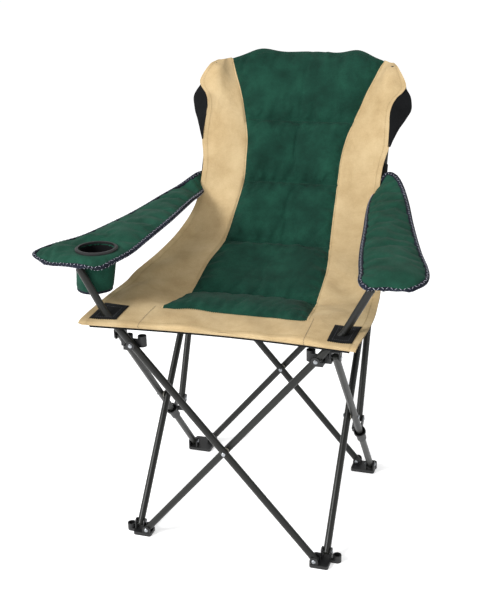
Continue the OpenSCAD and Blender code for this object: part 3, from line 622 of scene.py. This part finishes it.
pocketRows = [  # front edge, outer, behind it, behind the post, inner end; right side
    [(237, 573, 803), (240, 577, 801), (239, 592, 800), (226, 609, 802), (206, 606, 806)],
    [(235, 591, 845), (257, 598, 842), (252, 622, 842), (228, 631, 844), (196, 624, 848)],
    [(234, 611, 885), (277, 631, 880), (267, 651, 881), (228, 654, 884), (190, 645, 886)],
    [(243, 626, 908), (278, 640, 904), (266, 661, 906), (228, 666, 908), (188, 659, 908)],
    [(262, 652, 931), (262, 656, 928), (255, 670, 926), (228, 679, 928), (186, 676, 930)],
    [(234, 674, 964), (235, 677, 961), (232, 688, 959), (220, 696, 959), (192, 694, 956)],
    [(217, 691, 973), (216, 692, 972), (214, 696, 971), (208, 702, 971), (198, 707, 970)],
]
pocketKeys = [0, 1.1, 2.1, 2.8, 3.5, 4.5, 5.1]
for sideName, sign in (("left", -1), ("right", 1)):
    keys = np.array(pocketRows, float) * [sign, 1, 1]
    tall = throughKeys(pocketKeys, keys, np.linspace(0, pocketKeys[-1], 60))
    wide = throughKeys(range(5), np.swapaxes(tall, 0, 1), np.linspace(0, 4, 44))
    skin = place(np.swapaxes(wide, 0, 1))
    normal = gridNormals(skin) * sign
    uv = arcUv(skin)
    skin = skin + normal * (0.0012 * softNoise(uv, 0.05))[:, :, None]
    n, m = skin.shape[:2]
    faces, kinds = shellFaces(n, m, flip=sign < 0)
    verts = np.concatenate([skin.reshape(-1, 3), (skin - normal * 0.0016).reshape(-1, 3)])
    pocket = makePiece("shoulderPocket" + sideName.title(), verts, faces, [blackCloth],
                       uv=np.tile(uv.reshape(-1, 2), (2, 1)))
    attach(pocket, "back_post_" + sideName)
print("patches and pockets done")

# armrests

arm = {"thick": 6.0, "edge": 2.2, "cell": 4.4, "pressure": 4.0, "slack": 0.03, "cap": 0.006,
       "keep": 0.16,
       "sleeveAt": 0.737, "sleeveLength": 0.048}
# inner edge, outer edge, height of the crown over the chord
rightArm = [
    ((318, -6, 652), (362, 0, 651), 2), ((302, -6, 654), (384, 10, 651), 5),
    ((292, 4, 657), (398, 26, 653), 9), ((286, 22, 660), (407, 48, 654), 12),
    ((282, 50, 662), (407, 80, 657), 13), ((270, 105, 665), (396, 128, 660), 13),
    ((256, 185, 670), (370, 208, 667), 11), ((240, 300, 680), (336, 325, 685), 9),
    ((228, 376, 685), (310, 415, 709), 7), ((217, 460, 691), (284, 492, 728), 5),
    ((215, 515, 695), (262, 530, 742), 3), ((218, 538, 700), (240, 545, 745), 1)]
leftArm = [
    ((266, -24, 654), (372, -18, 652), 2), ((250, -22, 656), (400, -4, 654), 5),
    ((243, -8, 659), (422, 10, 657), 8), ((238, 14, 660), (431, 30, 659), 10),
    ((224, 65, 664), (410, 70, 664), 10), ((216, 130, 672), (366, 130, 669), 9),
    ((205, 240, 684), (337, 240, 673), 7), ((206, 310, 687), (314, 318, 680), 6),
    ((209, 400, 690), (284, 410, 695), 5), ((214, 460, 687), (262, 470, 705), 4),
    ((221, 518, 686), (240, 523, 720), 2), ((225, 536, 688), (232, 543, 726), 1)]
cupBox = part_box("cup_ring")
cupMiddle = (np.array(cupBox[0]) + np.array(cupBox[1])) / 2
cupOuter = (cupBox[1][0] - cupBox[0][0]) / 2
holeRadius = cupOuter - 0.0045


def armSurface(rows, sign):
    keys = []
    for inner, outer, crown in rows:
        inner, outer = np.array(inner, float), np.array(outer, float)
        across5 = [inner + (outer - inner) * t + np.array([0, 0, crown * (1 - abs(2 * t - 1) ** 2.4)])
                   for t in (0, 0.15, 0.5, 0.85, 1)]
        keys.append(across5 if sign > 0 else across5[::-1])
    keys = np.array(keys) * [sign, 1, 1]
    rowAt = [0]
    for k in range(len(rows) - 1):
        reach = np.linalg.norm(keys[k + 1, 2] - keys[k, 2])
        rowAt += list(k + np.arange(1, max(2, round(reach / arm["cell"])) + 1)
                      / max(2, round(reach / arm["cell"])))
    tall = throughKeys(range(len(rows)), keys, rowAt)
    share = [0, 0.15, 0.5, 0.85, 1]
    return place(np.swapaxes(throughKeys(share, np.swapaxes(tall, 0, 1), np.linspace(0, 1, 37)), 0, 1))


def makeArm(sideName, sign, rows, hole):
    middle = armSurface(rows, sign)
    normal = gridNormals(middle)
    uv = arcUv(middle)
    n, m = middle.shape[:2]
    inX = np.minimum(np.arange(m), np.arange(m)[::-1]) * arm["cell"] * 0.8
    inY = np.minimum(np.arange(n), np.arange(n)[::-1]) * arm["cell"]
    inward = np.minimum(inX[None, :], inY[:, None])
    body = arm["edge"] + (arm["thick"] - arm["edge"]) * (1 - np.exp(-inward / 9))
    ripple = softNoise(uv, 0.05) * 1.2 + softNoise(uv * [1, 0.4], 0.03) * 0.7
    topSkin = middle + normal * 0.001 * (body / 2 + ripple * (1 - np.exp(-inward / 12)))[:, :, None]
    lowSkin = middle - normal * 0.001 * (body / 2)[:, :, None]
    keep = None
    if hole:
        centre = (middle[:-1, :-1] + middle[1:, 1:]) / 2
        apart = np.hypot(centre[:, :, 0] - cupMiddle[0], centre[:, :, 1] - cupMiddle[1])
        keep = apart > holeRadius
        flat = np.hypot(middle[:, :, 0] - cupMiddle[0], middle[:, :, 1] - cupMiddle[1])
        near = np.exp(-(np.maximum(flat - cupOuter, 0) / 0.012) ** 2)[:, :, None]
        rim = cupBox[0][2] - 0.0006
        for skin, drop in ((topSkin, 0), (lowSkin, 0.004)):
            skin[:, :, 2:] += (rim - drop - skin[:, :, 2:]) * near
    faces, kinds = shellFaces(n, m, keep)
    verts = np.concatenate([topSkin.reshape(-1, 3), lowSkin.reshape(-1, 3)])
    edge = np.zeros((n, m), bool)
    edge[:1], edge[-6:], edge[:, :1], edge[:, -1:] = True, True, True, True
    if hole:
        edge |= flat < cupOuter + 0.006
    verts = swell(verts, faces, np.tile(edge.ravel(), 2), arm["pressure"], arm["slack"], arm["cap"])
    used = np.zeros(len(verts), bool)
    used[np.unique(np.concatenate(faces))] = True
    order = np.cumsum(used) - 1
    faces = [[order[i] for i in f] for f in faces]
    uvAll = np.tile(uv.reshape(-1, 2), (2, 1))
    slots = np.where(kinds == 1, 1, 0)
    rest = makePiece("armrest" + sideName.title(), verts[used], faces, [greenArm, greenArm], slots,
                     uvAll[used])
    # binding tape round the edge, folded over it and sewn with a zig-zag
    loop = [(0, c) for c in range(m)] + [(r, m - 1) for r in range(1, n)]
    loop += [(n - 1, c) for c in range(m - 2, -1, -1)] + [(r, 0) for r in range(n - 2, 0, -1)]
    rr, cc = np.array(loop).T
    path = middle[rr, cc]
    inner = middle[np.clip(rr, 2, n - 3), np.clip(cc, 2, m - 3)]
    out = path - inner
    for k in range(4):
        out = (np.roll(out, 1, axis=0) + 2 * out + np.roll(out, -1, axis=0)) / 4
    face = normal[rr, cc]
    closedRun = np.concatenate([[0], np.cumsum(np.linalg.norm(
        np.diff(np.vstack([path, path[:1]]), axis=0), axis=1))])
    evenly = np.linspace(0, closedRun[-1], int(closedRun[-1] / 0.0035), endpoint=False)
    path, out, face = [np.stack([np.interp(evenly, closedRun, np.append(f[:, k], f[0, k]))
                                 for k in range(3)], axis=1) for f in (path, out, face)]
    for k in range(5):
        path, out, face = [(np.roll(f, 1, axis=0) + 2 * f + np.roll(f, -1, axis=0)) / 4
                           for f in (path, out, face)]
    out, face = unit(out), unit(face)
    tape = sweep("armBinding" + sideName.title(), path + out * 0.0005, out, 0.0056, 0.0040,
                 bindingTape, closed=True)
    ring = list(range(len(path))) + [0]
    seamPath = path + face * 0.0044
    edgePath = path + out * 0.0060
    sewn = stitches("armBindingStitches" + sideName.title(),
                    [(seamPath[ring], face[ring]), (edgePath[ring], out[ring])], whiteThread,
                    spacing=0.0085, length=0.0070, thread=0.0008, slant=0.8)
    body = "front_tube_rising_" + sideName
    for piece, slot in ((rest, "green_fabric"), (tape, "black_fabric"), (sewn, "black_fabric")):
        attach(piece, body)
        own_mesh(piece)
    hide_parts("armrest_" + sideName)
    # black sleeve that holds the arm's end to the back post
    lean = np.array([0, math.sin(postLean), math.cos(postLean)])
    start = (arm["sleeveAt"] - postFoot[2]) / lean[2]
    centre = postFoot * [sign, 1, 1] + lean * start
    levels = np.linspace(-arm["sleeveLength"] / 2, arm["sleeveLength"] / 2, 9)
    spins = np.linspace(0, 2 * math.pi, 33)[:-1]
    cross = np.array([0, -math.cos(postLean), math.sin(postLean)])
    skins = []
    for radius in (0.0102, 0.0086):
        skins.append(np.array([[centre + lean * v + np.array([1, 0, 0]) * math.cos(a) * radius
                                + cross * math.sin(a) * (radius + 0.004 * max(0, math.sin(a)) ** 3)
                                for a in spins] for v in levels]))
    rings = np.concatenate([skins[0], skins[1][::-1]])
    k, w = rings.shape[:2]
    tube = [[(r % k) * w + c, (r % k) * w + (c + 1) % w, ((r + 1) % k) * w + (c + 1) % w,
             ((r + 1) % k) * w + c] for r in range(k) for c in range(w)]
    uvTube = np.stack([np.tile(spins * 0.01, k), np.repeat(np.linspace(0, 0.09, k), w)], axis=1)
    sleeve = makePiece("armSleeve" + sideName.title(), rings.reshape(-1, 3),
                       tube if np.dot(np.cross(rings[0, 1] - rings[0, 0], rings[1, 0] - rings[0, 0]),
                                      rings[0, 0] - centre) > 0 else [f[::-1] for f in tube],
                       [blackCloth], uv=uvTube)
    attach(sleeve, "back_post_" + sideName)


makeArm("left", -1, leftArm, True)
makeArm("right", 1, rightArm, False)
print("armrests done")

# cup pocket, a soft bag hung from the ring

pocket = {"depth": 0.091, "top": 0.0435, "bottom": 0.0395, "lean": 0.011, "wall": 0.0016}
heights = np.linspace(0, 1, 26)
around = np.linspace(0, 2 * math.pi, 65)[:-1]
bagRows = []
for level in heights:
    radius = pocket["top"] + (pocket["bottom"] - pocket["top"]) * level ** 1.3
    radius -= 0.012 * max(0, (level - 0.82) / 0.18) ** 2.4
    sag = 1 + 0.018 * np.sin(3 * around + 1.1 + 2 * level) * level
    squareish = 1 + 0.03 * np.cos(4 * around) * level
    spread = radius * sag * squareish
    bagRows.append(np.stack([
        cupMiddle[0] - pocket["lean"] * level + spread * np.cos(around),
        cupMiddle[1] + spread * np.sin(around),
        np.full(64, cupBox[0][2] - 0.004 - pocket["depth"] * level)], axis=1))
bagRows = np.array(bagRows)
bagCentre = bagRows.mean(axis=1, keepdims=True) * [1, 1, 0]
floorRing = [bagCentre[-1] + (bagRows[-1] - bagCentre[-1]) * [s, s, 1] for s in (0.8, 0.5, 0.2)]
outer = np.concatenate([bagRows, np.array(floorRing)])
bagCentre = np.concatenate([bagCentre, np.repeat(bagCentre[-1:], 3, axis=0)])
inside = bagCentre + (outer - bagCentre) * [0.955, 0.955, 1]
inside[len(heights):, :, 2] += pocket["wall"]
inside[len(heights) - 1, :, 2] += pocket["wall"]
rings = np.concatenate([inside[::-1], outer])
k, w = rings.shape[:2]
bagFaces = [[r * w + c, (r + 1) * w + c, (r + 1) * w + (c + 1) % w, r * w + (c + 1) % w]
            for r in range(k - 1) for c in range(w)]
bagFaces += [list(range(w))[::-1], [(k - 1) * w + c for c in range(w)]]
uvBag = np.stack([np.tile(around * pocket["top"], k), np.repeat(np.linspace(0, 0.25, k), w)], axis=1)
lining = [1 if f[0] // w < len(outer) else 0 for f in bagFaces]
bag = makePiece("cupPocket", rings.reshape(-1, 3), bagFaces, [greenPanel, blackCloth], lining, uvBag)
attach(bag, "front_tube_rising_left")
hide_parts("cup_pocket")
hemOut = (bagRows[-3] - bagCentre[-3]) * [1, 1, 0]
bagHem = sweep("cupPocketBinding", bagRows[-3] + unit(hemOut) * 0.0008, hemOut, 0.0012, 0.0030,
               bindingTape, closed=True)
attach(bagHem, "front_tube_rising_left")
print("cup pocket done")

# studio

# bright matt paper with a little glow of its own, so that it stays white far away
floorMaterial = speckled("white paper sweep", "#fafafa", "#ffffff", 40, 0.0001, {
    "Roughness": 0.9, "Specular IOR Level": 0, "Emission Color": (1, 1, 1, 1),
    "Emission Strength": 0.45})
floorMesh = bpy.data.meshes.new("floor")
floorMesh.from_pydata([(-30, -30, -0.0005), (30, -30, -0.0005), (30, 30, -0.0005),
                       (-30, 30, -0.0005)], [], [(0, 1, 2, 3)])
floorMesh.materials.append(floorMaterial)
floor = bpy.data.objects.new("floor", floorMesh)
bpy.context.scene.collection.objects.link(floor)

world = bpy.data.worlds.new("studio")
world.use_nodes = True
# white at the horizon and dimmer overhead, so that the key light models the folds
sky = world.node_tree
elevation = addNode(sky, "ShaderNodeSeparateXYZ", links={
    0: addNode(sky, "ShaderNodeTexCoord").outputs["Generated"]}).outputs["Z"]
skyLight = addNode(sky, "ShaderNodeMapRange", {1: 0.08, 2: 0.45, 3: 1.05, 4: 0.55}, {0: elevation})
sky.links.new(skyLight.outputs[0], sky.nodes["Background"].inputs["Strength"])
sky.nodes["Background"].inputs["Color"].default_value = (1, 1, 1, 1)
bpy.context.scene.world = world

lights = {"key": ((-1.9, -2.6, 2.3), 105, 1.1), "fill": ((2.8, -2.2, 1.4), 12, 2.0),
          "top": ((0.1, 0.2, 3.2), 8, 2.0)}  # place, watts, size in metres
for label, (where, watts, size) in lights.items():
    lamp = bpy.data.lights.new(label, "AREA")
    lamp.energy, lamp.size = watts, size
    light = bpy.data.objects.new(label, lamp)
    light.location = where
    light.rotation_euler = (Vector((0, 0, 0.55)) - Vector(where)).to_track_quat("-Z", "Y").to_euler()
    bpy.context.scene.collection.objects.link(light)

view = {"right": (0.95485, 0.29627, -0.02202), "up": (-0.08633, 0.34763, 0.93365),
        "back": (0.28427, -0.88960, 0.35751), "at": (0.6675, frontY - 1.871, 1.3476),
        "lens": 62.26, "shiftX": -0.0107, "shiftY": 0.0072}
lensData = bpy.data.cameras.new("camera")
lensData.lens, lensData.sensor_width = view["lens"], 36
lensData.shift_x, lensData.shift_y = view["shiftX"], view["shiftY"]
camera = bpy.data.objects.new("camera", lensData)
camera.matrix_world = Matrix([[view[axis][k] for axis in ("right", "up", "back")] + [view["at"][k]]
                              for k in range(3)] + [[0, 0, 0, 1]])
bpy.context.scene.collection.objects.link(camera)
bpy.context.scene.camera = camera
bpy.context.scene.view_settings.view_transform = "Standard"
